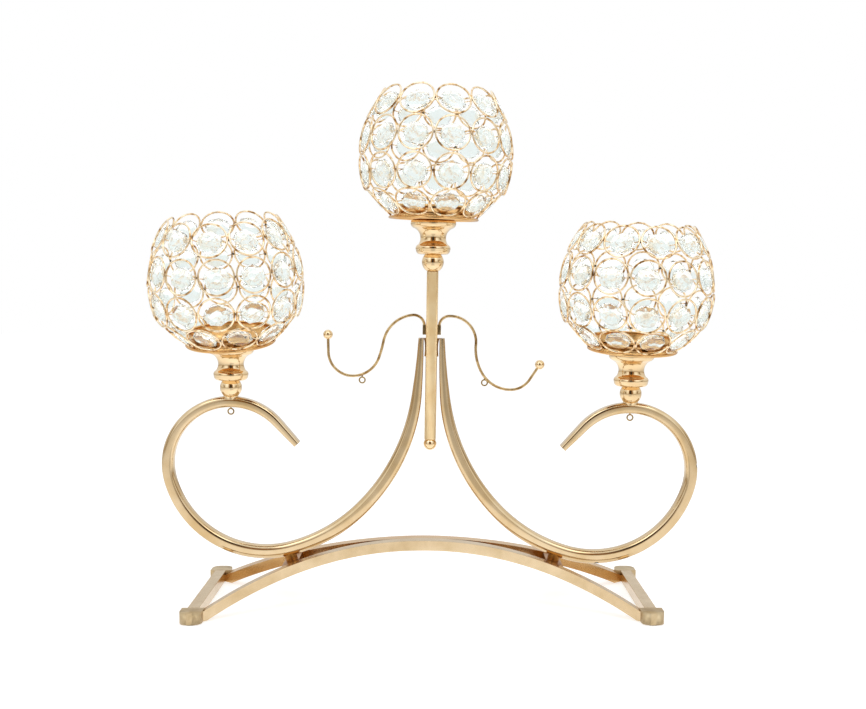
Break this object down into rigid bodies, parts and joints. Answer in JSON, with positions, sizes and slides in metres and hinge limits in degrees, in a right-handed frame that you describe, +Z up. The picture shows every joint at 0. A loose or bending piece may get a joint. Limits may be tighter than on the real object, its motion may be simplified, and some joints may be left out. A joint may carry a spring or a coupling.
{
  "type": "candelabra",
  "caption": "Gilt metal candelabra with bead-and-ring candle bowls on turned stems, scroll arms, a square centre post and an arched base.",
  "frame": {"origin": "on the table plane, in the middle of the candelabra's width and depth", "axes": "+X to the right along the row of bowls, +Y to the back, +Z up; the front faces -Y"},
  "size_m": [0.3899, 0.1226, 0.3576],
  "materials": {
    "gold_tube": "polished",
    "gold_base": "polished",
    "gold_turned": "polished",
    "gold_dark": "satin",
    "gold_tray": "polished",
    "gold_wire": "polished",
    "steel_bolt": "satin",
    "pad_pale": "matte",
    "crystal": "clear, faceted"
  },
  "bodies": {
    "frame": {"left_foot_bar": "gold_base", "right_foot_bar": "gold_base", "left_bridge": "gold_base", "right_bridge": "gold_base", "front_left_foot": "gold_base", "front_right_foot": "gold_base", "rear_left_foot": "gold_base", "rear_right_foot": "gold_base", "front_arch_bar": "gold_base", "rear_arch_bar": "gold_base", "foot_pads": "pad_pale", "left_scroll": "gold_tube", "left_spacer": "gold_dark", "left_side_plate": "gold_dark", "left_stem_washer": "gold_turned", "left_hook_arm": "gold_turned", "left_hook_ball": "gold_turned", "left_hook_eyelet": "gold_turned", "left_scroll_eyelet": "gold_turned", "right_scroll": "gold_tube", "right_spacer": "gold_dark", "right_side_plate": "gold_dark", "right_stem_washer": "gold_turned", "right_hook_arm": "gold_turned", "right_hook_ball": "gold_turned", "right_hook_eyelet": "gold_turned", "right_scroll_eyelet": "gold_turned", "base_bolts": "steel_bolt", "centre_post": "gold_tube", "post_finial": "gold_turned", "left_stem_ball": "gold_turned", "left_stem_collar": "gold_turned", "left_tray_shim": "gold_dark", "left_tray_screw": "steel_bolt", "centre_stem_ball": "gold_turned", "centre_stem_collar": "gold_turned", "centre_tray_shim": "gold_dark", "centre_tray_screw": "steel_bolt", "right_stem_ball": "gold_turned", "right_stem_collar": "gold_turned", "right_tray_shim": "gold_dark", "right_tray_screw": "steel_bolt"},
    "left_bowl": {"left_tray": "gold_tray", "left_top_rings": "gold_wire", "left_upper_rings": "gold_wire", "left_lower_rings": "gold_wire", "left_bottom_rings": "gold_wire", "left_beads": "crystal"},
    "centre_bowl": {"centre_tray": "gold_tray", "centre_top_rings": "gold_wire", "centre_upper_rings": "gold_wire", "centre_lower_rings": "gold_wire", "centre_bottom_rings": "gold_wire", "centre_beads": "crystal"},
    "right_bowl": {"right_tray": "gold_tray", "right_top_rings": "gold_wire", "right_upper_rings": "gold_wire", "right_lower_rings": "gold_wire", "right_bottom_rings": "gold_wire", "right_beads": "crystal"}
  },
  "joints": [
    {"name": "left_bowl_swivel", "type": "hinge", "parent": "frame", "child": "left_bowl", "pos_m": [-0.13925, 0, 0.18077], "axis": [-0.0262, -0.1719, 0.9848], "continuous": true},
    {"name": "centre_bowl_swivel", "type": "hinge", "parent": "frame", "child": "centre_bowl", "pos_m": [0.00199, 0, 0.26822], "axis": [0.0384, -0.0262, 0.9989], "continuous": true},
    {"name": "right_bowl_swivel", "type": "hinge", "parent": "frame", "child": "right_bowl", "pos_m": [0.14041, 0, 0.17638], "axis": [0.0349, -0.0871, 0.9956], "continuous": true}
  ]
}
